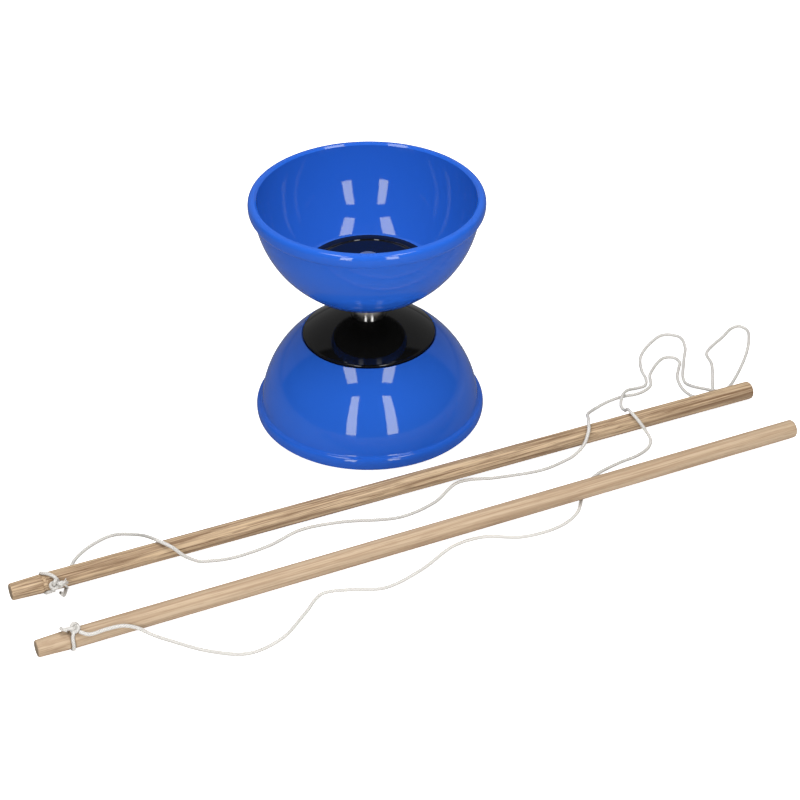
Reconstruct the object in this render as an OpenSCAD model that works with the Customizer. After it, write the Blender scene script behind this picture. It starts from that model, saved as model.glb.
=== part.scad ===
// Diabolo with a bearing axle, two wooden handsticks and their string.
// The spool stands on its lower rim. Its axis is the Z axis and the floor is z = 0.
// The sticks lie side by side along X, in front of the spool (towards -Y).

/* [Spool] */
// Height of the spool, rim to rim
spool_h = 127.4; // [124:0.2:130]
// Outer diameter of each cup at its rolled lip
cup_d = 120; // [118:0.5:122]
// Height of the rolled lip
lip_h = 7.5; // [6.5:0.1:8.5]
// How far the lip stands out beyond the bowl
lip_bulge = 2.8; // [2:0.1:3.2]
// Diameter of a cup's mouth, inside the lip
mouth_d = 113; // [112:0.5:114]
// Radius of the spherical bowl, outside
bowl_r = 57.6; // [57.2:0.1:58]
// Radius where the blue bowl ends and the black dome begins
dome_edge_r = 34.6; // [34:0.1:36]

/* [Axle] */
// Diameter of the polished sleeve that the string runs on
sleeve_d = 18; // [17.6:0.1:18.4]
// Diameter of the through bolt
bolt_d = 8; // [8:M8]
// Diameter of the bearing balls
ball_d = 1.6; // [1.5:0.05:1.7]

/* [Inner disc] */
// Diameter of the clamp disc inside each cup
disc_d = 66; // [60:0.5:68]

/* [Sticks] */
// Length of a handstick
stick_l = 408; // [404:1:412]
// Diameter of a handstick
stick_d = 9.5; // [9.2:0.1:9.6]
// Distance from a stick's tip to its string groove
groove_at = 16.5; // [14:0.5:20]
// Depth of the string groove
groove_depth = 0.75; // [0.6:0.05:0.9]

/* [String] */
// Diameter of the braided string
string_d = 1.8; // [1.6:0.1:1.8]

/* [Hidden] */

// Resolution of round shapes
facets = 96;
wood_facets = 64;

// ---- Spool, lower half (the upper half is its mirror image) ----
mid_z = spool_h / 2;
cup_r = cup_d / 2;
mouth_r = mouth_d / 2;
bowl_z = 1.2;                    // centre of the bowl's sphere
wall_r = bowl_r - 2;             // inner sphere of the bowl
wall_z = 0.6;                    // its centre
floor_out_z = 45.4;              // outside of the cup's floor, under the dome
floor_in_z = 43.2;               // inside of the cup's floor
floor_hole_r = 14;               // hole in the cup's floor
spigot_gap = 0.05;               // between that hole and the dome's spigot
edge_round = 0.6;                // rounding of the blue edge and the dome's edge
dome_gap = 0.3;                  // groove between the blue edge and the dome
dome_r = dome_edge_r - dome_gap;
dome_shell = 3;                  // thickness of the dome's shell
hub_r = 16;                      // tube in the middle of the dome
lip_r = cup_r - lip_bulge;       // centre of the lip's rounding

// ---- Axle ----
bolt_r = bolt_d / 2;
sleeve_r = sleeve_d / 2;
sleeve_bore_r = 8;               // seats the outer races
sleeve_rib_r = 7;                // rib between the two bearings
sleeve_half = 7;                 // half the sleeve's length
rib_half = 2;                    // half the rib's length
race_w = 5;                      // width of a bearing
race_bore_r = bolt_r + 0.02;
inner_race_r = 5.3;
outer_race_r = 6.7;
ball_track_r = 6;                // radius of the circle of ball centres
ball_r = ball_d / 2;
track_gap = 0.05;                // between a ball and its track
ball_count = 12;
cage_r = [5.55, 6.45];           // inside and outside of the ball cage
cage_half = 1.5;
recess_gap = 0.3;                // around the sleeve's end in the dome
recess_depth = 1.7;
boss_r = 5.3;                    // boss that presses on the inner race
shank_gap = 0.05;                // around the bolt
washer_r = 8;
washer_h = 1.2;
seat_z = 41.9;                   // the disc's face under the washer
head_r = 6.2;
head_h = 5.3;
socket_af = 5;                   // hexagon socket across flats
nut_af = 13;
nut_h = 6.3;
bolt_end = 1.2;                  // bolt beyond the nut

// ---- Inner clamp disc ----
disc_r = disc_d / 2;
disc_rim_z = 41.5;
disc_ring_r = 28;                // inside of the raised rim ring
disc_step = 0.6;

// ---- Sticks: centre of the tip's end and height of the butt's end ----
stick_r = stick_d / 2;
near_tip = [-222.4, -122.2, 5.85];
near_butt_z = 7.35;
far_tip = [-221.5, -79, 7.15];
far_butt_z = 4.75;
tip_r = 4.15;
tip_round = 0.9;
butt_round = 1.6;
groove_half = 1.6;

// ---- String ----
string_r = string_d / 2;
string_sides = 8;
loop_gap = 0.05;                 // between a loop and its groove
loop_r = stick_r - groove_depth + loop_gap + string_r;
near_knot_at = [-206, -123.7, 13];
near_knot_size = [9, 5.6, 4.8];
far_knot_at = [-201, -86.4, 8.2];
far_knot_size = [9.5, 4.8, 5.2];

// Centre line of the string, from the far stick's knot to the near stick's knot.
// It lies on the floor, and rises where it passes over a stick or over itself.
far_route = [
  [-199.4, -87.2, 5.2], [-197, -84.2, 0.9], [-190.6, -71.5, 0.9], [-184.5, -61, 0.9],
  [-172, -52.6, 0.9], [-159.5, -50.2, 0.9], [-151, -57, 2.8], [-149, -68.5, 9],
  [-147, -79, 13.2], [-142, -84.2, 11.2], [-136.5, -86.4, 5.4], [-129.5, -88, 1.1],
  [-116, -91.6, 0.9], [-95, -90.5, 0.9], [-76, -85.4, 0.9], [-56, -87.8, 0.9],
  [-27, -96.8, 0.9], [-7, -93.2, 0.9], [12, -83, 0.9], [32, -87.8, 0.9],
  [56, -91.6, 0.9], [73, -88.6, 1], [81.5, -86.6, 4.8], [86, -83.4, 10.6],
  [89.4, -77, 12.2], [99.5, -59.5, 3], [108, -54, 0.9], [122, -50.9, 0.9],
  [135, -51.9, 0.9], [143.5, -48.2, 0.9], [149, -38.5, 0.9], [163.5, -27.8, 0.9],
  [168.6, -29.6, 0.9], [169.6, -34.6, 0.9], [166.2, -39.6, 0.9]
];
bight_route = [
  [160.4, -48, 0.9], [157.6, -59, 0.9], [159.4, -67.4, 0.9], [164.6, -70.6, 0.9],
  [170, -67.8, 0.9], [176, -58.6, 0.9], [184.5, -43.5, 0.9], [187.4, -33.6, 0.9],
  [205, -22.6, 0.9], [212.5, -18, 0.9], [218, -17.6, 0.9], [220, -22.6, 0.9],
  [215.5, -32, 0.9], [201, -49.5, 0.9], [178.5, -68.8, 1.2], [172.5, -70.2, 2.6],
  [167.6, -67, 3], [162, -53.8, 0.9], [172, -35.2, 0.9], [180.2, -22.5, 0.9],
  [182.2, -12.8, 0.9], [175.5, -7.4, 0.9], [164, -12, 0.9], [152.5, -21.8, 0.9],
  [146.6, -33.5, 0.9], [144.4, -42, 0.9], [140.6, -47, 0.9], [135, -47.4, 1.1],
  [129.4, -48.7, 2.4], [124.8, -51.6, 3], [118.4, -60.5, 2.8]
];
near_route = [
  [116.8, -67.4, 4.6], [114.6, -73.6, 9.8], [113, -79.2, 12.3], [114.6, -84.6, 9.8],
  [117.4, -88.4, 4.6], [118, -92.6, 1.6], [114, -97.4, 0.9], [105.5, -101.2, 0.9],
  [93, -103, 0.9], [76, -108, 0.9], [63.5, -119.4, 0.9], [54, -131, 0.9],
  [41, -137.2, 0.9], [21, -137, 0.9], [3, -128.8, 0.9], [-13, -129, 0.9],
  [-36, -139.3, 0.9], [-57, -144.2, 0.9], [-73, -138.2, 0.9], [-86, -135.6, 0.9],
  [-99, -145.6, 0.9], [-116, -157.8, 0.9], [-133.5, -161, 0.9], [-150, -151.2, 0.9],
  [-169.5, -130.6, 1.9], [-175.5, -128.8, 6.6], [-182, -127.9, 9.6], [-190, -127.4, 10],
  [-198.4, -127.6, 10.1], [-202.4, -125.5, 11.6]
];
string_route = concat(far_route, bight_route, near_route);
far_last = len(far_route) - 1;
bight_last = far_last + len(bight_route);
route_last = len(string_route) - 1;

blue = [0.11, 0.38, 0.85];
black = [0.06, 0.06, 0.07];
steel = [0.78, 0.79, 0.80];
zinc = [0.84, 0.83, 0.78];
brass = [0.74, 0.62, 0.33];
wood = [0.80, 0.66, 0.48];
cotton = [0.93, 0.92, 0.89];

// Points along an arc, from angle a0 to a1 in n steps
function arc(cx, cz, r, a0, a1, n) =
  [for (i = [0:n]) let (a = a0 + (a1 - a0) * i / n) [cx + r * cos(a), cz + r * sin(a)]];

// Height of a sphere's surface at radius r from the axis
function sphere_z(centre_z, sphere_r, r) = centre_z + sqrt(sphere_r * sphere_r - r * r);

// Radius of a sphere's surface at height z
function sphere_at(centre_z, sphere_r, z) = sqrt(sphere_r * sphere_r - (z - centre_z) * (z - centre_z));

// ---- Spool ----
module ring_of(points) {
  rotate_extrude($fn = facets) polygon(points);
}

module upside_down() {
  translate([0, 0, spool_h]) mirror([0, 0, 1]) children();
}

// One cup, mouth down: rolled lip, thin spherical wall and a flat floor with a hole
module cup() {
  lip_half = lip_h / 2;
  lip_steps = 14;
  lip = [
    for (i = [0:lip_steps])
      let (a = -90 + 180 * i / lip_steps)
      [lip_r + lip_bulge * pow(cos(a), 0.8), lip_half + lip_half * sign(a) * pow(abs(sin(a)), 0.8)]
  ];
  lip_top_a = asin((lip_h - bowl_z) / bowl_r);
  edge_a = acos((dome_edge_r + edge_round) / bowl_r);
  outside = arc(0, bowl_z, bowl_r, lip_top_a + 1, edge_a, 22);
  edge_z = sphere_z(bowl_z, bowl_r, dome_edge_r + edge_round) - edge_round;
  blue_edge = arc(dome_edge_r + edge_round, edge_z, edge_round, 110, 180, 4);
  floor_ring = [
    [dome_edge_r, floor_out_z], [floor_hole_r, floor_out_z],
    [floor_hole_r, floor_in_z], [sphere_at(wall_z, wall_r, floor_in_z), floor_in_z]
  ];
  mouth_step = 0.9;
  inside_a0 = asin((floor_in_z - wall_z) / wall_r);
  inside_a1 = asin((mouth_step - wall_z) / wall_r);
  inside = arc(0, wall_z, wall_r, inside_a0 - 0.5, inside_a1, 22);
  color(blue) ring_of(concat([[mouth_r, 0]], lip, outside, blue_edge, floor_ring, inside));
}

// Black dome outside the cup's floor, with the hub that carries the bearing
module dome() {
  top_r = sleeve_r + recess_gap;
  top_z = sphere_z(bowl_z, bowl_r, top_r);
  sleeve_end = mid_z - sleeve_half;
  spigot_r = floor_hole_r - spigot_gap;
  shell_r = bowl_r - dome_shell;
  rim_z = sphere_z(bowl_z, bowl_r, dome_r - edge_round) - edge_round;
  skin_a0 = acos((dome_r - edge_round) / bowl_r);
  skin = arc(0, bowl_z, bowl_r, skin_a0, acos((top_r + 0.4) / bowl_r), 26);
  hollow_a0 = acos(hub_r / shell_r);
  hollow_a1 = asin((floor_out_z - bowl_z) / shell_r);
  hollow = arc(0, bowl_z, shell_r, hollow_a0, hollow_a1, 18);
  color(black) ring_of(concat(
    [[dome_r, floor_out_z]],
    arc(dome_r - edge_round, rim_z, edge_round, 0, 60, 4),
    skin,
    [
      [top_r, top_z - 0.3], [top_r, top_z - recess_depth],
      [boss_r, top_z - recess_depth], [boss_r, sleeve_end],
      [bolt_r + shank_gap, sleeve_end], [bolt_r + shank_gap, floor_in_z],
      [spigot_r, floor_in_z], [spigot_r, floor_out_z], [hub_r, floor_out_z]
    ],
    hollow
  ));
}

// Black clamp disc inside the cup: raised rim ring, shallow dish and a boss for the washer
module clamp_disc() {
  rim_round = 0.5;
  boss_edge_r = washer_r + 1;
  dish_z = disc_rim_z + disc_step;
  color(black) ring_of(concat(
    [[bolt_r + shank_gap, floor_in_z], [disc_r, floor_in_z]],
    arc(disc_r - rim_round, disc_rim_z + rim_round, rim_round, 0, -90, 4),
    [
      [disc_ring_r + 0.4, disc_rim_z], [disc_ring_r, dish_z],
      [boss_edge_r + 1, dish_z + 0.4], [boss_edge_r, seat_z],
      [bolt_r + shank_gap, seat_z]
    ]
  ));
}

module washer() {
  color(zinc) ring_of([
    [bolt_r + shank_gap, seat_z - washer_h], [washer_r, seat_z - washer_h],
    [washer_r, seat_z], [bolt_r + shank_gap, seat_z]
  ]);
}

module lower_cup() { cup(); }
module upper_cup() { upside_down() cup(); }
module lower_dome() { dome(); }
module upper_dome() { upside_down() dome(); }
module lower_disc() { clamp_disc(); }
module upper_disc() { upside_down() clamp_disc(); }
module lower_washer() { washer(); }
module upper_washer() { upside_down() washer(); }

// ---- Axle ----
module axle_bolt() {
  head_z = spool_h - (seat_z - washer_h);
  end_z = seat_z - washer_h - nut_h - bolt_end;
  chamfer = 0.8;
  color(zinc) difference() {
    ring_of([
      [0, end_z], [bolt_r - chamfer, end_z], [bolt_r, end_z + chamfer], [bolt_r, head_z],
      [head_r, head_z], [head_r, head_z + head_h - chamfer],
      [head_r - chamfer, head_z + head_h], [0, head_z + head_h]
    ]);
    translate([0, 0, head_z + head_h - 3]) cylinder(h = 4, d = socket_af / cos(30), $fn = 6);
  }
}

module axle_nut() {
  top_z = seat_z - washer_h;
  color(zinc) translate([0, 0, top_z - nut_h]) difference() {
    cylinder(h = nut_h, d = nut_af / cos(30), $fn = 6);
    translate([0, 0, -1]) cylinder(h = nut_h + 2, r = bolt_r + 0.02, $fn = facets);
  }
}

// Polished sleeve: both outer races sit in it, against a rib
module axle_sleeve() {
  round_end = 0.4;
  color(steel) translate([0, 0, mid_z]) ring_of([
    [sleeve_bore_r, -sleeve_half], [sleeve_r - round_end, -sleeve_half],
    [sleeve_r, round_end - sleeve_half], [sleeve_r, sleeve_half - round_end],
    [sleeve_r - round_end, sleeve_half], [sleeve_bore_r, sleeve_half],
    [sleeve_bore_r, rib_half], [sleeve_rib_r, rib_half],
    [sleeve_rib_r, -rib_half], [sleeve_bore_r, -rib_half]
  ]);
}

// Tube between the two inner races
module bearing_spacer() {
  color(zinc) translate([0, 0, mid_z]) ring_of([
    [race_bore_r, -rib_half], [inner_race_r, -rib_half],
    [inner_race_r, rib_half], [race_bore_r, rib_half]
  ]);
}

// side is -1 for the lower bearing and 1 for the upper one
module at_bearing(side) {
  translate([0, 0, mid_z + side * (rib_half + race_w / 2)]) children();
}

module race(r_in, r_out) {
  rotate_extrude($fn = facets) difference() {
    translate([r_in, -race_w / 2]) square([r_out - r_in, race_w]);
    translate([ball_track_r, 0]) circle(r = ball_r + track_gap, $fn = 32);
  }
}

module inner_race(side) { color(steel) at_bearing(side) race(race_bore_r, inner_race_r); }
module outer_race(side) { color(steel) at_bearing(side) race(outer_race_r, sleeve_bore_r); }

module ball_ring(side) {
  color(steel) at_bearing(side) for (i = [0:ball_count - 1])
    rotate([0, 0, i * 360 / ball_count]) translate([ball_track_r, 0, 0]) sphere(r = ball_r, $fn = 24);
}

module ball_cage(side) {
  color(brass) at_bearing(side) difference() {
    rotate_extrude($fn = facets)
      translate([cage_r[0], -cage_half]) square([cage_r[1] - cage_r[0], 2 * cage_half]);
    for (i = [0:ball_count - 1])
      rotate([0, 0, i * 360 / ball_count]) translate([ball_track_r, 0, 0])
        rotate([0, 90, 0]) cylinder(h = 2, r = ball_r + track_gap, center = true, $fn = 24);
  }
}

module lower_inner_race() { inner_race(-1); }
module upper_inner_race() { inner_race(1); }
module lower_outer_race() { outer_race(-1); }
module upper_outer_race() { outer_race(1); }
module lower_balls() { ball_ring(-1); }
module upper_balls() { ball_ring(1); }
module lower_cage() { ball_cage(-1); }
module upper_cage() { ball_cage(1); }

// ---- Sticks ----
// Lays children, built along +Z from the tip, down along a stick
module along_stick(tip, butt_z) {
  tilt = asin((butt_z - tip[2]) / stick_l);
  translate(tip) rotate([0, 90 - tilt, 0]) children();
}

// A dowel: slightly tapered tip, round string groove and a domed butt
module stick(tip, butt_z) {
  groove_r = stick_r - groove_depth;
  taper_end = groove_at - groove_half;
  color(wood) along_stick(tip, butt_z) rotate_extrude($fn = wood_facets) polygon(concat(
    [[0, 0]],
    arc(tip_r - tip_round, tip_round, tip_round, -90, 0, 4),
    [[stick_r - 0.1, taper_end]],
    [for (i = [1:5]) [stick_r - groove_depth * sin(i * 30), taper_end + groove_half * 2 * i / 6]],
    [[stick_r, groove_at + groove_half]],
    arc(stick_r - butt_round, stick_l - butt_round, butt_round, 0, 90, 6),
    [[0, stick_l]]
  ));
}

module near_stick() { stick(near_tip, near_butt_z); }
module far_stick() { stick(far_tip, far_butt_z); }

// ---- String ----
module loop(tip, butt_z) {
  color(cotton) along_stick(tip, butt_z) translate([0, 0, groove_at])
    rotate_extrude($fn = wood_facets) translate([loop_r, 0]) circle(r = string_r, $fn = 24);
}

module knot(at, size) {
  color(cotton) translate(at) scale(size / 2) sphere(r = 1, $fn = 24);
}

module near_loop() { loop(near_tip, near_butt_z); }
module far_loop() { loop(far_tip, far_butt_z); }
module near_knot() { knot(near_knot_at, near_knot_size); }
module far_knot() { knot(far_knot_at, far_knot_size); }

function unit(v) = v / norm(v);

// Direction of the string at point i, from its neighbours
function heading(i) =
  unit(unit(string_route[min(i + 1, route_last)] - string_route[i] + [1e-9, 0, 0])
    + unit(string_route[i] - string_route[max(i - 1, 0)] + [1e-9, 0, 0]));

// Ring of corners square to the string at point i
function ring(i) =
  let (h = heading(i), side = unit(cross(h, [0, 0, 1])), over = cross(side, h))
  [for (k = [0:string_sides - 1])
    let (a = (k + 0.5) * 360 / string_sides)
    string_route[i] + string_r * (cos(a) * side + sin(a) * over)];

// Closed tube along the string from point i0 to point i1
module string_tube(i0, i1) {
  n = i1 - i0 + 1;
  m = string_sides;
  corners = [for (i = [i0:i1]) each ring(i)];
  walls = [
    for (i = [0:n - 2]) for (k = [0:m - 1])
      let (j = (k + 1) % m)
      each [
        [i * m + k, i * m + j, (i + 1) * m + j],
        [i * m + k, (i + 1) * m + j, (i + 1) * m + k]
      ]
  ];
  start_cap = [for (k = [1:m - 2]) [0, k + 1, k]];
  end_cap = [for (k = [1:m - 2]) [(n - 1) * m, (n - 1) * m + k, (n - 1) * m + k + 1]];
  color(cotton) polyhedron(points = corners, faces = concat(walls, start_cap, end_cap), convexity = 6);
}

module far_string() { string_tube(0, far_last); }
module string_bight() { string_tube(far_last, bight_last); }
module near_string() { string_tube(bight_last, route_last); }

lower_cup();
upper_cup();
lower_dome();
upper_dome();
lower_disc();
upper_disc();
axle_bolt();
axle_nut();
lower_washer();
upper_washer();
axle_sleeve();
bearing_spacer();
lower_inner_race();
upper_inner_race();
lower_outer_race();
upper_outer_race();
lower_balls();
upper_balls();
lower_cage();
upper_cage();
near_stick();
far_stick();
near_loop();
far_loop();
near_knot();
far_knot();
near_string();
far_string();
string_bight();
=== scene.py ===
"""The looks of a bearing diabolo, its two wooden handsticks and their string.

The string's route, the knots and the spool's outlines are in millimetres, and MM turns them into metres where the
meshes are made. The camera, the lights and the materials' textures are in metres.
"""
import math

import bpy
import numpy as np
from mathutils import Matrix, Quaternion, Vector


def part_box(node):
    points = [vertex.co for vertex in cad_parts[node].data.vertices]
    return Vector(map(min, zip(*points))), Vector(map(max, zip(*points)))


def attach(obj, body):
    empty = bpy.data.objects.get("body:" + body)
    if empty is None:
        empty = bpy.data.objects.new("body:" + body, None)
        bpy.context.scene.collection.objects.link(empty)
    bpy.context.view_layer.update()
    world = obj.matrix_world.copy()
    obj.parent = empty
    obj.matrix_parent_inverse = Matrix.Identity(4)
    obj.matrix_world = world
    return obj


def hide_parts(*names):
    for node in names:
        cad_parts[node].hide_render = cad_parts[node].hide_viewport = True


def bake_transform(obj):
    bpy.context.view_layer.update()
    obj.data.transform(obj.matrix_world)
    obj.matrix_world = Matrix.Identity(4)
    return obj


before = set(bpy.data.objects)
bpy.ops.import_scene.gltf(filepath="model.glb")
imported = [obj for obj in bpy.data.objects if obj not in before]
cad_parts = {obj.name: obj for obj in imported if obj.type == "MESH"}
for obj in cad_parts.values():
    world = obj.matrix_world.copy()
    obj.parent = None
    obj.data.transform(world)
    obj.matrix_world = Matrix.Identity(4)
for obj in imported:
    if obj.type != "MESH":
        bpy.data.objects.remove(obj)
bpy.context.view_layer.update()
MM = 0.001


# ---------------------------------------------------------------- camera

CAMERA_AT = Vector((-0.4057, -0.9244, 0.6920))
LOOKS_AT = Vector((0.0166, -0.0020, 0.0))
LENS_MM = 103.5
SENSOR_MM = 36
ROLL_DEG = -0.38


def make_camera():
    """A long lens, looking down at the set from the front left."""
    camera = bpy.data.objects.new("Camera", bpy.data.cameras.new("Camera"))
    bpy.context.scene.collection.objects.link(camera)
    camera.data.sensor_width = SENSOR_MM
    camera.data.lens = LENS_MM
    camera.data.clip_start = 0.05
    camera.location = CAMERA_AT
    camera.rotation_mode = "QUATERNION"
    level = (LOOKS_AT - CAMERA_AT).to_track_quat("-Z", "Y")
    camera.rotation_quaternion = level @ Quaternion((0, 0, 1), math.radians(ROLL_DEG))
    bpy.context.scene.camera = camera


make_camera()


# ---------------------------------------------------------------- meshes

def add_piece(name, vertices, faces, smooth_deg=40):
    """A new mesh object with smooth shading, and sharp edges where faces meet at more than smooth_deg."""
    mesh = bpy.data.meshes.new(name)
    mesh.from_pydata([tuple(v) for v in vertices], [], [tuple(f) for f in faces])
    mesh.validate()
    mesh.shade_smooth()
    mesh.set_sharp_from_angle(angle=math.radians(smooth_deg))
    piece = bpy.data.objects.new(name, mesh)
    bpy.context.scene.collection.objects.link(piece)
    return piece


def grid_faces(rows, columns, closed_rows=False):
    """Quads between neighbouring points of a grid whose rows are closed rings."""
    row_count = rows if closed_rows else rows - 1
    i, k = np.meshgrid(np.arange(row_count), np.arange(columns), indexing="ij")
    below, right = (i + 1) % rows, (k + 1) % columns
    corners = [i * columns + k, i * columns + right, below * columns + right, below * columns + k]
    return np.stack(corners, -1).reshape(-1, 4).tolist()


LATHE_SEGMENTS = 240


def lathe(name, outline_mm):
    """Turns a closed outline of (radius, height) points round the Z axis."""
    radius, height = np.array(outline_mm).T * MM
    angle = np.linspace(0, 2 * math.pi, LATHE_SEGMENTS, endpoint=False)
    x = radius[:, None] * np.cos(angle)
    y = radius[:, None] * np.sin(angle)
    z = np.repeat(height[:, None], LATHE_SEGMENTS, axis=1)
    points = np.stack([x, y, z], -1).reshape(-1, 3)
    return add_piece(name, points, grid_faces(len(radius), LATHE_SEGMENTS, closed_rows=True))


def arc(centre_z, radius, start_deg, end_deg, count, centre_r=0.0):
    """Points (radius, height) along an arc. 0 degrees points outwards and 90 up."""
    angle = np.radians(np.linspace(start_deg, end_deg, count))
    return [(centre_r + radius * math.cos(a), centre_z + radius * math.sin(a)) for a in angle]


# ---------------------------------------------------------------- string

STRING_MM = 1.8
STRANDS = 4           # strands that wind one way round the braid, and as many the other
STRAND_LEAD_MM = 1.3  # length of one crossing of the braid
BRAID_DEPTH = 0.26    # part of the radius between the top of a strand and the gap beside it
BRAID_SHARP_DEG = 75  # faces that meet at less than this are shaded as one
RING_STEP_MM = 0.3    # between the rings of points along the string's mesh
RING_SIDES = 20       # points in one ring

# The string's centre line, in millimetres, from the far stick's knot to the near stick's knot
FAR_ROUTE = [
    (-199.4, -87.2, 5.2), (-197, -84.2, 0.9), (-190.6, -71.5, 0.9), (-184.5, -61, 0.9), (-172, -52.6, 0.9),
    (-159.5, -50.2, 0.9), (-151, -57, 2.8), (-149, -68.5, 9), (-147, -79, 13.2), (-142, -84.2, 11.2),
    (-136.5, -86.4, 5.4), (-129.5, -88, 1.1), (-116, -91.6, 0.9), (-95, -90.5, 0.9), (-76, -85.4, 0.9),
    (-56, -87.8, 0.9), (-27, -96.8, 0.9), (-7, -93.2, 0.9), (12, -83, 0.9), (32, -87.8, 0.9),
    (56, -91.6, 0.9), (73, -88.6, 1), (81.5, -86.6, 4.8), (86, -83.4, 10.6), (89.4, -77, 12.2),
    (99.5, -59.5, 3), (108, -54, 0.9), (122, -50.9, 0.9), (135, -51.9, 0.9), (143.5, -48.2, 0.9),
    (149, -38.5, 0.9), (163.5, -27.8, 0.9), (168.6, -29.6, 0.9), (169.6, -34.6, 0.9), (166.2, -39.6, 0.9),
]
BIGHT_ROUTE = [
    (160.4, -48, 0.9), (157.6, -59, 0.9), (159.4, -67.4, 0.9), (164.6, -70.6, 0.9), (170, -67.8, 0.9),
    (176, -58.6, 0.9), (184.5, -43.5, 0.9), (187.4, -33.6, 0.9), (205, -22.6, 0.9), (212.5, -18, 0.9),
    (218, -17.6, 0.9), (220, -22.6, 0.9), (215.5, -32, 0.9), (201, -49.5, 0.9), (178.5, -68.8, 1.2),
    (172.5, -70.2, 2.6), (167.6, -67, 3), (162, -53.8, 0.9), (172, -35.2, 0.9), (180.2, -22.5, 0.9),
    (182.2, -12.8, 0.9), (175.5, -7.4, 0.9), (164, -12, 0.9), (152.5, -21.8, 0.9), (146.6, -33.5, 0.9),
    (144.4, -42, 0.9), (140.6, -47, 0.9), (135, -47.4, 1.1), (129.4, -48.7, 2.4), (124.8, -51.6, 3),
    (118.4, -60.5, 2.8),
]
NEAR_ROUTE = [
    (116.8, -67.4, 4.6), (114.6, -73.6, 9.8), (113, -79.2, 12.3), (114.6, -84.6, 9.8), (117.4, -88.4, 4.6),
    (118, -92.6, 1.6), (114, -97.4, 0.9), (105.5, -101.2, 0.9), (93, -103, 0.9), (76, -108, 0.9),
    (63.5, -119.4, 0.9), (54, -131, 0.9), (41, -137.2, 0.9), (21, -137, 0.9), (3, -128.8, 0.9),
    (-13, -129, 0.9), (-36, -139.3, 0.9), (-57, -144.2, 0.9), (-73, -138.2, 0.9), (-86, -135.6, 0.9),
    (-99, -145.6, 0.9), (-116, -157.8, 0.9), (-133.5, -161, 0.9), (-150, -151.2, 0.9), (-169.5, -130.6, 1.9),
    (-175.5, -128.8, 6.6), (-182, -127.9, 9.6), (-190, -127.4, 10), (-198.4, -127.6, 10.1), (-202.4, -125.5, 11.6),
]


def through(points):
    """A smooth line through the points, never lower than the string can lie, as one array for each span."""
    p = np.array(points, float)
    p = np.vstack([2 * p[0] - p[1], p, 2 * p[-1] - p[-2]])
    spans = []
    for a, b, c, d in zip(p, p[1:], p[2:], p[3:]):
        t1 = np.linalg.norm(b - a) ** 0.5
        t2 = t1 + np.linalg.norm(c - b) ** 0.5
        t3 = t2 + np.linalg.norm(d - c) ** 0.5
        count = max(2, math.ceil(np.linalg.norm(c - b) / RING_STEP_MM))
        t = np.linspace(t1, t2, count + 1)[:, None]
        ab = a + (b - a) * t / t1
        bc = b + (c - b) * (t - t1) / (t2 - t1)
        cd = c + (d - c) * (t - t2) / (t3 - t2)
        abc = ab + (bc - ab) * t / t2
        bcd = bc + (cd - bc) * (t - t1) / (t3 - t1)
        span = abc + (bcd - abc) * (t - t1) / (t2 - t1)
        span[:, 2] = np.maximum(span[:, 2], STRING_MM / 2)
        spans.append(span)
    return spans


def joined(spans):
    """The spans as one line, with each shared point once."""
    return np.vstack([spans[0][:1]] + [span[1:] for span in spans])


def braid_height(turn, along_mm):
    """How far the braid stands out, from 0 between strands to 1 on top of one."""
    one_way = STRANDS * turn + along_mm / STRAND_LEAD_MM
    other_way = STRANDS * turn - along_mm / STRAND_LEAD_MM
    over = (np.floor(one_way) + np.floor(other_way)) % 2 == 0
    across = 2 * (np.where(over, one_way, other_way) % 1) - 1
    return np.sqrt(1 - across**2)


def braided_tube(name, line_mm, start_mm=0.0, diameter_mm=STRING_MM, closed=False, up=(0, 0, 1)):
    """A round braid along a line, with its strands modelled.

    start_mm carries the pattern on from the last piece. The "gap" attribute runs from 0 on top of a strand to 1
    between strands, and the material paints shade between the strands with it.
    """
    line = np.array(line_mm, float)
    if closed:
        heading = np.roll(line, -1, 0) - np.roll(line, 1, 0)
    else:
        heading = np.gradient(line, axis=0)
    heading /= np.linalg.norm(heading, axis=1)[:, None]
    side = np.cross(heading, np.array(up, float))
    side /= np.linalg.norm(side, axis=1)[:, None]
    over = np.cross(side, heading)
    steps = np.linalg.norm(np.diff(line, axis=0), axis=1)
    along = start_mm + np.concatenate([[0], np.cumsum(steps)])
    turn = np.arange(RING_SIDES) / RING_SIDES
    height = braid_height(turn[None, :], along[:, None])
    radius = diameter_mm / 2 * (1 - BRAID_DEPTH * (1 - height))
    angle = 2 * math.pi * turn
    points = (
        line[:, None]
        + (radius * np.cos(angle))[..., None] * side[:, None]
        + (radius * np.sin(angle))[..., None] * over[:, None]
    ).reshape(-1, 3)
    faces = grid_faces(len(line), RING_SIDES, closed_rows=closed)
    if not closed:
        faces.append(list(range(RING_SIDES))[::-1])
        faces.append(list(range(len(points) - RING_SIDES, len(points))))
    piece = add_piece(name, points * MM, faces, BRAID_SHARP_DEG)
    # gap drives the painted shade between the strands in the string's material
    gap = piece.data.attributes.new("gap", "FLOAT", "POINT")
    gap.data.foreach_set("value", (1 - height).ravel())
    return piece


def length_of(line):
    return float(np.linalg.norm(np.diff(line, axis=0), axis=1).sum())


def make_strings():
    """The one string, in the three pieces that the CAD has. Returns {name: (piece, line in mm)}."""
    spans = through(FAR_ROUTE + BIGHT_ROUTE + NEAR_ROUTE)
    far_end = len(FAR_ROUTE) - 1
    bight_end = far_end + len(BIGHT_ROUTE)
    parts = {
        "far_string": joined(spans[:far_end]),
        "string_bight": joined(spans[far_end:bight_end]),
        "near_string": joined(spans[bight_end:]),
    }
    made, start = {}, 0.0
    for name, line in parts.items():
        made[name] = braided_tube(name + "_braid", line, start), line
        start += length_of(line)
    return made


strings = make_strings()


# ---------------------------------------------------------------- loops and knots on the sticks

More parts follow.
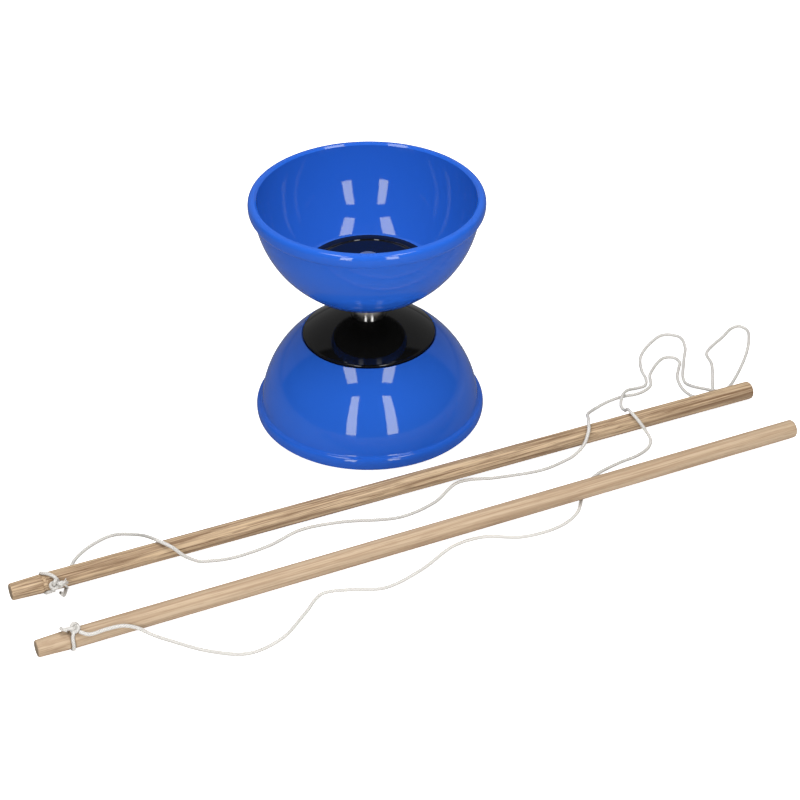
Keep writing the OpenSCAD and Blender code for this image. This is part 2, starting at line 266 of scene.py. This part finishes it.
STICK_MM = 408
STICK_RISE_MM = {"near_stick": 1.5, "far_stick": -2.4}  # from the tip to the butt
KNOT_STRING_MM = 1.75  # the string is pulled a little thinner in the knots
LOOP_R_MM = 4.95       # from a stick's axis to the middle of its loop
FRAY_MM = 0.45         # one loose yarn
KNOT_POINTS = 150


def stick_axis(stick, loop):
    """(point on the stick's axis in its groove, direction towards its butt), in mm."""
    low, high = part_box(loop)
    centre = np.array((low + high) / 2) / MM
    direction = np.array([STICK_MM, 0.0, STICK_RISE_MM[stick]])
    return centre, direction / np.linalg.norm(direction)


def across(direction):
    """Unit directions at right angles to a stick: towards the front, and up."""
    front = np.array([0.0, -1.0, 0.0])
    up = np.cross(front, direction)
    return front, up * np.sign(up[2])


def beside_stick(centre, direction, along, degrees, distance):
    """Points beside a stick, in mm. 0 degrees is in front of it and 90 is above it."""
    front, up = across(direction)
    a = np.radians(np.asarray(degrees, float))[..., None]
    along, distance = np.asarray(along, float)[..., None], np.asarray(distance, float)[..., None]
    return centre + along * direction + distance * (np.cos(a) * front + np.sin(a) * up)


def soft_line(points, per_span=14):
    """A smooth line through a few points."""
    p = np.array(points, float)
    p = np.vstack([2 * p[0] - p[1], p, 2 * p[-1] - p[-2]])
    t = np.linspace(0, 1, per_span, endpoint=False)[:, None]
    spans = [
        0.5 * (2 * b + (c - a) * t + (2 * a - 5 * b + 4 * c - d) * t**2 + (3 * b - a - 3 * c + d) * t**3)
        for a, b, c, d in zip(p, p[1:], p[2:], p[3:])
    ]
    return np.vstack(spans + [p[-2:-1]])


def overhand(along, degrees, distance, size, spin_deg, centre, direction):
    """The centre line of a tight overhand knot that lies against a stick. size is along, round and out, in mm."""
    t = np.linspace(0, 2 * math.pi, KNOT_POINTS, endpoint=False)
    flat_x = (np.sin(t) + 2 * np.sin(2 * t)) / 3
    flat_y = (np.cos(t) - 2 * np.cos(2 * t)) / 3
    c, s = math.cos(math.radians(spin_deg)), math.sin(math.radians(spin_deg))
    x, y, z = c * flat_x - s * flat_y, s * flat_x + c * flat_y, -np.sin(3 * t)
    middle = beside_stick(centre, direction, along, degrees, distance)
    front, up = across(direction)
    a = math.radians(degrees)
    out = math.cos(a) * front + math.sin(a) * up
    around = np.cross(out, direction)
    half = [(side - KNOT_STRING_MM) / 2 for side in size]
    return (
        middle
        + np.outer(x * half[0], direction)
        + np.outer(y * half[1], around * np.sign(around[2] if abs(around[2]) > 0.1 else 1))
        + np.outer(z * half[2], out)
    )


# Where each knot lies: along the stick from its groove, degrees round it, distance from its axis
KNOTS = {
    "near": {"at": (1.7, 80, 7.1), "size": (8.4, 6.0, 4.0), "spin_deg": 20},
    "far": {"at": (4.2, 22, 7.4), "size": (7.0, 6.6, 5.0), "spin_deg": 50},
}
# Each loop round its groove, and the short ends of its knot, as (along, degrees, distance)
NEAR_LOOP = [(1.6, 74, 6.8), (0.9, 60, 6.1), (0.2, 44, 5.1)] + [
    (0, degrees, LOOP_R_MM) for degrees in range(24, -221, -20)
] + [(0.3, -250, 5.1), (1.0, -264, 6.0), (1.6, -276, 6.8)]
FAR_LOOP = [(5.2, 36, 7.0), (4.4, 54, 6.1), (2.6, 74, 5.8), (1.0, 94, 5.3)] + [
    (0, degrees, LOOP_R_MM) for degrees in range(112, 309, 20)
] + [(0.5, 328, 5.1), (1.7, 344, 5.8), (3.2, 356, 6.6)]
NEAR_ENDS = [[(-1.4, 74, 7.4), (-3.0, 84, 7.4), (-3.6, 98, 6.8), (-3.2, 112, 6.2)]]
FAR_ENDS = [[(5.4, 24, 8.4), (6.8, 26, 8.8), (7.8, 20, 8.6)]]


def make_tie(side, loop_path, ends):
    """The loop round a stick's groove, its knot, and the knot's ends."""
    centre, direction = stick_axis(side + "_stick", side + "_loop")

    def braid(name, points):
        path = soft_line(beside_stick(centre, direction, *np.array(points).T))
        return braided_tube(name, path, diameter_mm=KNOT_STRING_MM, up=(0.97, 0.2, 0.1))

    loop = braid(side + "_loop_braid", loop_path)
    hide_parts(side + "_loop")
    shape = KNOTS[side]
    line = overhand(*shape["at"], shape["size"], shape["spin_deg"], centre, direction)
    knot = braided_tube(
        side + "_knot_braid", line, diameter_mm=KNOT_STRING_MM, closed=True, up=(0.31, 0.2, 0.93)
    )
    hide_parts(side + "_knot")
    pieces = [loop, knot]
    pieces += [braid(f"{side}_knot_end_{number}", points) for number, points in enumerate(ends, 1)]
    if side == "far":
        pieces += fray(centre, direction)
    for piece in pieces:
        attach(piece, side + "_tie")
    return pieces


def fray(centre, direction):
    """Seven loose yarns that fan out at the cut end of the far knot."""
    yarns = []
    for number in range(1, 8):
        spread = (number - 4) / 3
        points = [
            (7.4, 21 + 5 * spread, 8.6 + 0.3 * abs(spread)),
            (8.6, 18 + 12 * spread, 8.4 + 0.5 * math.cos(2.1 * number)),
            (9.6 + 0.5 * math.sin(1.7 * number), 14 + 20 * spread, 8.0 + 0.7 * math.sin(2.6 * number)),
        ]
        path = soft_line(beside_stick(centre, direction, *np.array(points).T))
        name = f"far_knot_yarn_{number}"
        yarns.append(braided_tube(name, path, diameter_mm=FRAY_MM, up=(0.3, 0.2, 0.9)))
    return yarns


near_tie = make_tie("near", NEAR_LOOP, NEAR_ENDS)
far_tie = make_tie("far", FAR_LOOP, FAR_ENDS)


def declare_strings():
    """Puts the middle length of string with the spool and hides the CAD strings.

    The other two lengths are fixed where they lie.
    """
    far, far_line = strings["far_string"]
    bight, bight_line = strings["string_bight"]
    near, near_line = strings["near_string"]
    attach(bight, "spool")
    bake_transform(far)
    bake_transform(near)
    for name, (piece, line) in strings.items():
        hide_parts(name)


declare_strings()


# ---------------------------------------------------------------- spool

# Sizes in millimetres, for the lower half with its mouth on the floor. A name in _R is a radius from the Z axis or
# of a sphere, and one in _Z is a height. The upper half is the mirror image.
SPOOL_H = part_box("upper_cup")[1].z / MM
CUP_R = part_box("lower_cup")[1].x / MM
MOUTH_R = 56.5
MOUTH_STEP = 0.9
LIP_H = 7.5
LIP_BULGE = 2.8
LIP_FILLET = 1.0            # where the rolled lip meets the bowl
BOWL_R, BOWL_Z = 57.6, 1.2  # outer sphere and its centre
WALL_R, WALL_Z = 55.6, 0.6  # inner sphere and its centre
FLOOR_OUT_Z, FLOOR_IN_Z = 45.4, 43.2
FLOOR_HOLE_R = 14
SPIGOT_R = 13.95            # the dome's collar in that hole
DOME_EDGE_R = 34.6          # where the blue ends
DOME_GAP = 0.3
DOME_SHELL = 3
EDGE_ROUND = 0.6
HUB_R = 16
BOLT_HOLE_R = 4.05
BOSS_R = 5.3                # presses on the bearing
BOSS_END_Z = 56.7
RECESS_R, RECESS_DEPTH = 9.3, 1.7
DISC_R, DISC_RING_R = 33, 28
DISC_RIM_Z, DISC_DISH_Z, DISC_SEAT_Z = 41.5, 42.1, 41.9
DISC_RIM_ROUND = 0.5
DISC_SEAT_R = 9.0           # flat under the washer


def sphere_z(centre_z, radius, r):
    """Height of a sphere's upper half at r from its axis."""
    return centre_z + math.sqrt(radius**2 - r**2)


def cup_outline():
    """Rolled lip, thin bowl and flat floor, mouth down."""
    half, squareness = LIP_H / 2, 0.8
    lip = []
    for a in np.radians(np.linspace(-90, 90, 48)):
        out = LIP_BULGE * max(0.0, math.cos(a)) ** squareness
        up = half * math.copysign(abs(math.sin(a)) ** squareness, a)
        if a < 0 or out > LIP_FILLET:
            lip.append((CUP_R - LIP_BULGE + out, half + up))
    lip_top = math.degrees(math.asin((LIP_H - BOWL_Z) / BOWL_R))
    edge = DOME_EDGE_R + EDGE_ROUND
    bowl_end = math.degrees(math.acos(edge / BOWL_R))
    edge_z = sphere_z(BOWL_Z, BOWL_R, edge) - EDGE_ROUND
    seat_r = math.sqrt(WALL_R**2 - (FLOOR_IN_Z - WALL_Z) ** 2)
    inner_start = math.degrees(math.asin((FLOOR_IN_Z - WALL_Z) / WALL_R))
    inner_end = math.degrees(math.asin((MOUTH_STEP - WALL_Z) / WALL_R))
    fillet_z = lip[-1][1] + LIP_FILLET
    return (
        [(MOUTH_R, 0.0)]
        + lip
        + arc(fillet_z, LIP_FILLET, 262, 186, 7, centre_r=CUP_R - LIP_BULGE + LIP_FILLET)
        + arc(BOWL_Z, BOWL_R, lip_top + 1.2, bowl_end, 90)
        + arc(edge_z, EDGE_ROUND, 80, 180, 10, centre_r=edge)
        + [(DOME_EDGE_R, FLOOR_OUT_Z), (FLOOR_HOLE_R, FLOOR_OUT_Z)]
        + [(FLOOR_HOLE_R, FLOOR_IN_Z), (seat_r - 2, FLOOR_IN_Z)]
        + arc(WALL_Z, WALL_R, inner_start - 0.5, inner_end, 90)
    )


def dome_outline():
    """Black shell over the cup's floor, with its hub and the recess that the sleeve turns in."""
    dome_r = DOME_EDGE_R - DOME_GAP
    shell_r = BOWL_R - DOME_SHELL
    rim_z = sphere_z(BOWL_Z, BOWL_R, dome_r - EDGE_ROUND) - EDGE_ROUND
    top_z = sphere_z(BOWL_Z, BOWL_R, RECESS_R)
    recess_z = top_z - RECESS_DEPTH
    skin_start = math.degrees(math.acos((dome_r - EDGE_ROUND) / BOWL_R))
    skin_end = math.degrees(math.acos((RECESS_R + 0.4) / BOWL_R))
    hollow_start = math.degrees(math.acos(HUB_R / shell_r))
    hollow_end = math.degrees(math.asin((FLOOR_OUT_Z - BOWL_Z) / shell_r))
    return (
        [(dome_r, FLOOR_OUT_Z)]
        + arc(rim_z, EDGE_ROUND, 0, 60, 8, centre_r=dome_r - EDGE_ROUND)
        + arc(BOWL_Z, BOWL_R, skin_start, skin_end, 80)
        + [(RECESS_R, top_z - 0.3), (RECESS_R, recess_z)]
        + [(BOSS_R, recess_z), (BOSS_R, BOSS_END_Z)]
        + [(BOLT_HOLE_R, BOSS_END_Z), (BOLT_HOLE_R, FLOOR_IN_Z)]
        + [(SPIGOT_R, FLOOR_IN_Z), (SPIGOT_R, FLOOR_OUT_Z), (HUB_R, FLOOR_OUT_Z)]
        + arc(BOWL_Z, shell_r, hollow_start, hollow_end, 40)
    )


def disc_outline():
    """Clamp disc inside the cup: raised rim ring with a rounded step, shallow dish and a seat for the washer."""
    dish_w, dish_depth, dish_sag = 17, 0.35, 0.05
    dish = [
        (DISC_RING_R - dish_w * t, DISC_DISH_Z + dish_depth * t + dish_sag * math.sin(math.pi * t))
        for t in np.linspace(0.02, 1, 24)
    ]
    rim_round_z, rim_round_r = DISC_RIM_Z + DISC_RIM_ROUND, DISC_R - DISC_RIM_ROUND
    return (
        [(BOLT_HOLE_R, FLOOR_IN_Z), (DISC_R, FLOOR_IN_Z)]
        + arc(rim_round_z, DISC_RIM_ROUND, 0, -90, 8, centre_r=rim_round_r)
        + [(DISC_RING_R + 0.6, DISC_RIM_Z), (DISC_RING_R + 0.3, DISC_RIM_Z + 0.1)]
        + [(DISC_RING_R + 0.1, DISC_DISH_Z - 0.15)]
        + dish
        + [(DISC_SEAT_R + 0.4, DISC_DISH_Z + 0.3), (DISC_SEAT_R, DISC_SEAT_Z), (BOLT_HOLE_R, DISC_SEAT_Z)]
    )


def flipped(outline):
    """The same outline for the upper half of the spool."""
    return [(r, SPOOL_H - z) for r, z in outline][::-1]


def make_spool():
    """The cups, domes and discs of both halves, as {CAD node: piece}."""
    made = {}
    for part, outline, slot in (
        ("cup", cup_outline(), "blue_plastic"),
        ("dome", dome_outline(), "black_plastic"),
        ("disc", disc_outline(), "black_plastic"),
    ):
        for half, shape in (("lower", outline), ("upper", flipped(outline))):
            piece = lathe(f"{half}_{part}_shell", shape)
            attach(piece, "spool")
            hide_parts(f"{half}_{part}")
            made[f"{half}_{part}"] = piece
    return made


spool = make_spool()


# ---------------------------------------------------------------- materials

class Material:
    """A Principled material that is built up node by node."""

    def __init__(self, name, **settings):
        self.material = bpy.data.materials.new(name)
        self.material.use_nodes = True
        self.tree = self.material.node_tree
        self.shader = self.tree.nodes["Principled BSDF"]
        for socket, value in settings.items():
            self.shader.inputs[socket.replace("_", " ")].default_value = value
        self.place = self.tree.nodes.new("ShaderNodeTexCoord").outputs["Object"]

    def node(self, kind, inputs=None, **settings):
        """Adds a node. An input is linked if it is another node's socket, and set if it is a value."""
        node = self.tree.nodes.new(kind)
        for key, value in settings.items():
            setattr(node, key, value)
        for key, value in (inputs or {}).items():
            if isinstance(value, bpy.types.NodeSocket):
                self.tree.links.new(value, node.inputs[key])
            else:
                node.inputs[key].default_value = value
        return node

    def mapped(self, scale, location=(0, 0, 0), rotation=(0, 0, 0)):
        """Object coordinates, stretched, shifted and turned."""
        node = self.node("ShaderNodeMapping", {"Vector": self.place, "Scale": scale})
        node.inputs["Location"].default_value = location
        node.inputs["Rotation"].default_value = rotation
        return node.outputs[0]

    def noise(self, scale, detail=4.0, where=None, roughness=0.5, distortion=0.0):
        inputs = {"Vector": where or self.place, "Scale": scale, "Detail": detail}
        inputs |= {"Roughness": roughness, "Distortion": distortion}
        return self.node("ShaderNodeTexNoise", inputs).outputs["Fac"]

    def ramp(self, value, stops):
        """A colour ramp with (position, colour) stops."""
        node = self.node("ShaderNodeValToRGB", {"Fac": value})
        elements = node.color_ramp.elements
        while len(elements) < len(stops):
            elements.new(0.5)
        for element, (position, colour) in zip(elements, stops):
            element.position = position
            element.color = (*colour, 1)
        return node.outputs[0]

    def mask(self, value, full, none):
        """1 where a value is on the full side, 0 on the other, with an even change between the two."""
        low, high = sorted([(full, (1, 1, 1)), (none, (0, 0, 0))])
        return self.ramp(value, [low, high])

    def span(self, value, low, high):
        """Stretches a 0 to 1 value to run from low to high."""
        return self.node("ShaderNodeMapRange", {"Value": value, "To Min": low, "To Max": high}).outputs[0]

    def mix(self, share, first, second):
        """First colour where the share is 0, second where it is 1."""
        node = self.node("ShaderNodeMix", data_type="RGBA")
        for index, value in ((0, share), (6, first), (7, second)):
            if isinstance(value, bpy.types.NodeSocket):
                self.tree.links.new(value, node.inputs[index])
            else:
                node.inputs[index].default_value = value if index == 0 else (*value, 1)
        return node.outputs[2]

    def maths(self, operation, *values):
        node = self.node("ShaderNodeMath", operation=operation)
        for index, value in enumerate(values):
            if isinstance(value, bpy.types.NodeSocket):
                self.tree.links.new(value, node.inputs[index])
            else:
                node.inputs[index].default_value = value
        return node.outputs[0]

    def bump(self, height, strength, distance):
        inputs = {"Height": height, "Strength": strength, "Distance": distance}
        return self.node("ShaderNodeBump", inputs).outputs[0]

    def set(self, **sockets):
        """Links node outputs to the shader's sockets."""
        for socket, value in sockets.items():
            self.tree.links.new(value, self.shader.inputs[socket.replace("_", " ")])

    def put_on(self, *pieces):
        for piece in pieces:
            piece.data.materials.clear()
            piece.data.materials.append(self.material)


def moulded(name, colour, deeper, roughness, gloss_tint=(1, 1, 1, 1)):
    """Glossy moulded plastic: faint cloudy colour, fine scuffs and a very slight waviness."""
    made = Material(name, IOR=1.5, Specular_Tint=gloss_tint)
    cloud = made.noise(28, 3)
    scuffs = made.noise(260, 6, made.mapped((1, 1, 0.25)), roughness=0.7)
    wave = made.noise(45, 1)
    made.set(
        Base_Color=made.mix(made.span(cloud, 0.1, 0.9), colour, deeper),
        Roughness=made.span(scuffs, roughness * 0.7, roughness * 1.5),
        Normal=made.bump(wave, 0.06, 0.0006),
    )
    return made


TURNED = (0.2, 0.2, 4)  # stretches the marks of a lathe round the Z axis


def metal(name, colour, roughness, brushed=(1, 1, 1)):
    """Metal with fine turned or ground marks."""
    made = Material(name, Metallic=1.0)
    marks = made.noise(1500, 5, made.mapped(brushed), roughness=0.7)
    duller = tuple(c * 0.9 for c in colour)
    made.set(
        Base_Color=made.mix(made.span(made.noise(300, 2), 0, 1), colour, duller),
        Roughness=made.span(marks, roughness * 0.7, roughness * 1.5),
        Normal=made.bump(marks, 0.1, 0.00005),
    )
    return made


RING_WIDTH_MM = 2.3  # between two growth rings
RING_SWAY = 0.004    # how far the rings wander, in metres
CUT_STRENGTH = 0.9   # of the end grain's own colour


def timber(name, light, tan, brown, end_grain, contrast, pith_mm, seed, runout_deg):
    """Bare dowel cut from a board: growth rings round a far-off pith, fibres, open pores and darker end grain.

    pith_mm is the tree's centre beside the stick, and runout_deg how far the grain runs off the stick's length.
    """
    made = Material(name, IOR=1.45)
    shift = (seed * 1.7, seed * 0.31, seed * 0.77)
    runout = math.radians(runout_deg)

    def streaks(detail, stretch, **settings):
        return made.noise(1.0, detail, made.mapped(stretch, shift), **settings)

    sway = streaks(2, (9, 14, 14))
    from_pith = made.mapped((0, 1, 1), tuple(-v * MM for v in pith_mm), (0, runout, runout))
    reach = made.node("ShaderNodeVectorMath", {"Vector": from_pith}, operation="LENGTH").outputs["Value"]
    along = made.node("ShaderNodeSeparateXYZ", {"Vector": made.place}).outputs["X"]
    rings = made.maths("ADD", reach, made.maths("MULTIPLY", along, runout))
    rings = made.maths("ADD", rings, made.maths("MULTIPLY", sway, RING_SWAY))
    ring = made.maths("FRACT", made.maths("DIVIDE", rings, RING_WIDTH_MM * MM))
    fibres = streaks(4, (22, 1300, 1300), roughness=0.65)
    pores = streaks(2, (70, 2300, 2300))
    broad = streaks(2, (6, 90, 90))
    lines = streaks(3, (7, 850, 850), roughness=0.6, distortion=0.2)
    colour = made.ramp(ring, [(0.0, tan), (0.35, light), (0.75, tan), (0.92, brown), (1.0, tan)])
    colour = made.mix(made.span(broad, 0.0, 0.9), light, colour)
    for marks, full, none, strength in (
        (fibres, 0.40, 0.53, contrast),
        (lines, 0.42, 0.50, contrast * 0.8),
        (pores, 0.33, 0.42, contrast),
    ):
        colour = made.mix(made.maths("MULTIPLY", made.mask(marks, full, none), strength), colour, brown)
    normal = made.node("ShaderNodeTexCoord").outputs["Normal"]
    along_stick = made.node("ShaderNodeSeparateXYZ", {"Vector": normal}).outputs["X"]
    cut = made.mask(made.maths("ABSOLUTE", along_stick), 0.92, 0.75)
    colour = made.mix(made.maths("MULTIPLY", cut, CUT_STRENGTH), colour, end_grain)
    made.set(
        Base_Color=colour,
        Roughness=made.span(fibres, 0.5, 0.75),
        Normal=made.bump(made.maths("ADD", fibres, made.maths("MULTIPLY", pores, 0.5)), 0.3, 0.0002),
    )
    return made


def cotton():
    """Off-white cotton braid: matt, with painted shade between its strands, fine yarn marks and a little dirt."""
    made = Material("string_braid", IOR=1.45)
    yarn = made.noise(5200, 3, roughness=0.7)
    dirt = made.noise(60, 3)
    # clean and used are the cotton's own colours, mixed by dirt; shaded is painted shade for the gaps between
    # strands
    clean, used, shaded = (0.70, 0.68, 0.645), (0.58, 0.555, 0.52), (0.10, 0.085, 0.07)
    gap = made.node("ShaderNodeAttribute", attribute_name="gap").outputs["Fac"]
    # painted shade: the braid is darkened between its strands, where shade falls in the hollows
    painted_gap_shade = made.maths("MULTIPLY", made.maths("POWER", gap, 1.3), 0.95)
    made.set(
        Base_Color=made.mix(painted_gap_shade, made.mix(made.span(dirt, 0.0, 0.7), clean, used), shaded),
        Roughness=made.span(yarn, 0.7, 0.9),
        Normal=made.bump(yarn, 0.3, 0.0001),
    )
    return made


BLUE, DEEPER_BLUE = (0.019, 0.108, 0.545), (0.016, 0.099, 0.505)
BLUE_GLOSS = (1, 0.97, 0.6, 1)  # tints the blue plastic's reflections
BLACK, SOFTER_BLACK = (0.003, 0.003, 0.003), (0.005, 0.005, 0.005)
STEEL, ZINC, RACE, BALL = (0.95, 0.94, 0.92), (0.95, 0.92, 0.82), (0.62, 0.62, 0.63), (0.75, 0.75, 0.76)
BRASS = (0.70, 0.52, 0.22)
END_GRAIN = (0.235, 0.165, 0.10)
# Light, tan and brown of each stick
NEAR_TONES = (0.515, 0.390, 0.266), (0.455, 0.328, 0.210), (0.28, 0.17, 0.092)
FAR_TONES = (0.575, 0.428, 0.276), (0.495, 0.342, 0.197), (0.150, 0.076, 0.032)


def dress():
    """Puts a material on every piece and on every CAD node that isn't replaced."""
    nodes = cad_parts
    halves = "lower", "upper"
    blue = moulded("blue_plastic", BLUE, DEEPER_BLUE, 0.05, BLUE_GLOSS)
    black = moulded("black_plastic", BLACK, SOFTER_BLACK, 0.06)
    zinc = metal("zinc_plate", ZINC, 0.32)
    races = metal("race_steel", RACE, 0.18, TURNED)
    balls = metal("ball_steel", BALL, 0.08)
    brass = metal("cage_brass", BRASS, 0.25)
    for half in halves:
        blue.put_on(spool[f"{half}_cup"])
        black.put_on(spool[f"{half}_dome"], spool[f"{half}_disc"])
        races.put_on(nodes[f"{half}_inner_race"], nodes[f"{half}_outer_race"])
        balls.put_on(nodes[f"{half}_balls"])
        brass.put_on(nodes[f"{half}_cage"])
        zinc.put_on(nodes[f"{half}_washer"])
    zinc.put_on(nodes["axle_bolt"], nodes["axle_nut"], nodes["bearing_spacer"])
    metal("sleeve_steel", STEEL, 0.16, TURNED).put_on(nodes["axle_sleeve"])
    near = timber("near_wood", *NEAR_TONES, END_GRAIN, 0.40, pith_mm=(0, 96, 40), seed=1, runout_deg=0.5)
    far = timber("far_wood", *FAR_TONES, END_GRAIN, 0.68, pith_mm=(0, 52, -30), seed=2, runout_deg=0.9)
    near.put_on(nodes["near_stick"])
    far.put_on(nodes["far_stick"])
    cotton().put_on(*(piece for piece, _ in strings.values()), *near_tie, *far_tie)


dress()


# ---------------------------------------------------------------- studio

TOWARDS_CAMERA = Vector((CAMERA_AT.x, CAMERA_AT.y, 0)).normalized()
TO_THE_RIGHT = Vector((-TOWARDS_CAMERA.y, TOWARDS_CAMERA.x, 0))

FLOOR_HALF = 6.0
FLOOR_DROP = 0.0001      # keeps the floor just clear of what stands on it
FLOOR_GLOW = 0.85        # the floor's own light, which only the camera sees
DIMMER_IN_GLOSS = 0.75   # how much darker the floor is in reflections
DIMMER_IN_BOUNCE = 0.15  # and in the light that it throws back

# Brightness of the world: in reflections from in front of and behind the object, and in all other light
WORLD_IN_FRONT, WORLD_BEHIND, WORLD_ROOM = 0.02, 0.24, 0.30
BEHIND_FROM, BEHIND_TO = 0.36, 0.46  # where the front gives way, as the cosine of the angle from straight behind

# The strip lights' places and sizes, in metres
STRIP_UP, STRIP_FRONT, STRIP_H = 0.42, 0.9, 0.80
STRIP_RADIANCE = 7.0
CEILING_UP, CEILING_FRONT, CEILING_SIDE = 1.0, 0.42, 0.37
CEILING_W, CEILING_L = 0.23, 0.50
CEILING_RADIANCE = 6.5


def studio_point(right, front, up):
    """A place in the studio, in metres from the spool's foot as the camera sees it."""
    return TO_THE_RIGHT * right + TOWARDS_CAMERA * front + Vector((0, 0, up))


def panel(name, at, facing, width, height, radiance):
    """A soft rectangular light, whose power follows from its area and radiance."""
    light = bpy.data.lights.new(name, "AREA")
    light.shape = "RECTANGLE"
    light.size, light.size_y = width, height
    light.energy = radiance * math.pi * width * height
    lamp = bpy.data.objects.new(name, light)
    bpy.context.scene.collection.objects.link(lamp)
    lamp.location = at
    lamp.rotation_mode = "QUATERNION"
    lamp.rotation_quaternion = facing.to_track_quat("-Z", "Y")
    lamp.visible_camera = False
    return lamp


def make_floor():
    """A floor that the camera sees as plain white and the glossy cups as dim."""
    mesh = bpy.data.meshes.new("floor")
    corners = [(-1, -1), (1, -1), (1, 1), (-1, 1)]
    mesh.from_pydata([(x * FLOOR_HALF, y * FLOOR_HALF, 0) for x, y in corners], [], [(0, 1, 2, 3)])
    floor = bpy.data.objects.new("floor", mesh)
    bpy.context.scene.collection.objects.link(floor)
    floor.location.z = -FLOOR_DROP
    made = Material("floor_white", Roughness=0.9, Specular_IOR_Level=0.1, Emission_Color=(1, 1, 1, 1))
    rays = made.node("ShaderNodeLightPath").outputs
    white = made.mix(made.noise(3, 2), (0.90, 0.90, 0.90), (0.92, 0.92, 0.92))
    dimmer = made.maths("MULTIPLY", rays["Is Glossy Ray"], DIMMER_IN_GLOSS)
    dimmer = made.maths("ADD", dimmer, made.maths("MULTIPLY", rays["Is Diffuse Ray"], DIMMER_IN_BOUNCE))
    made.set(
        Base_Color=made.mix(dimmer, white, (0, 0, 0)),
        Emission_Strength=made.maths("MULTIPLY", rays["Is Camera Ray"], FLOOR_GLOW),
    )
    made.put_on(floor)


def make_world():
    """White to the camera, dark in front and grey behind in reflections, and an even grey to other light."""
    world = bpy.data.worlds.new("studio")
    bpy.context.scene.world = world
    world.use_nodes = True
    tree = world.node_tree
    background = tree.nodes["Background"]

    def node(kind, **settings):
        made = tree.nodes.new(kind)
        for key, value in settings.items():
            setattr(made, key, value)
        return made

    def blend(share, first, second):
        """A mix of two colours, each a grey value or another node's socket."""
        made = node("ShaderNodeMix", data_type="RGBA")
        tree.links.new(share, made.inputs[0])
        for index, value in ((6, first), (7, second)):
            if isinstance(value, bpy.types.NodeSocket):
                tree.links.new(value, made.inputs[index])
            else:
                made.inputs[index].default_value = (value, value, value, 1)
        return made.outputs[2]

    place = node("ShaderNodeTexCoord")
    flat = node("ShaderNodeVectorMath", operation="MULTIPLY")
    flat.inputs[1].default_value = (1, 1, 0)
    level = node("ShaderNodeVectorMath", operation="NORMALIZE")
    dot = node("ShaderNodeVectorMath", operation="DOT_PRODUCT")
    dot.inputs[1].default_value = -TOWARDS_CAMERA
    behind = node("ShaderNodeMapRange", interpolation_type="SMOOTHSTEP")
    behind.inputs["From Min"].default_value = BEHIND_FROM
    behind.inputs["From Max"].default_value = BEHIND_TO
    tree.links.new(place.outputs["Generated"], flat.inputs[0])
    tree.links.new(flat.outputs[0], level.inputs[0])
    tree.links.new(level.outputs[0], dot.inputs[0])
    tree.links.new(dot.outputs["Value"], behind.inputs["Value"])
    rays = node("ShaderNodeLightPath").outputs
    reflected = blend(behind.outputs[0], WORLD_IN_FRONT, WORLD_BEHIND)
    unseen = blend(rays["Is Glossy Ray"], WORLD_ROOM, reflected)
    tree.links.new(blend(rays["Is Camera Ray"], unseen, 1.0), background.inputs["Color"])


def make_lights():
    """Two upright strips in front, two overhead, and two fills that don't show in reflections."""
    down, back = Vector((0, 0, -1)), -TOWARDS_CAMERA
    for name, right, width in (("left_strip", -0.31, 0.175), ("right_strip", 0.365, 0.20)):
        panel(name, studio_point(right, STRIP_FRONT, STRIP_UP), back, width, STRIP_H, STRIP_RADIANCE)
    for side in (-1, 1):
        at = studio_point(side * CEILING_SIDE, CEILING_FRONT, CEILING_UP)
        lamp = panel(f"ceiling_strip_{side}", at, down, CEILING_W, CEILING_L, CEILING_RADIANCE)
        lamp.rotation_quaternion = Quaternion((0, 0, 1), math.atan2(TO_THE_RIGHT.y, TO_THE_RIGHT.x))
    overhead = panel("overhead_fill", studio_point(0, -0.1, 1.4), down, width=1.2, height=1.2, radiance=2.2)
    in_bowl = panel("bowl_fill", studio_point(0, 0.06, 0.36), down + 0.35 * back, 0.12, 0.12, radiance=4.2)
    overhead.visible_glossy = False
    in_bowl.visible_glossy = False


make_floor()
make_world()
make_lights()
bpy.context.scene.view_settings.view_transform = "Standard"  # colours show as they are set
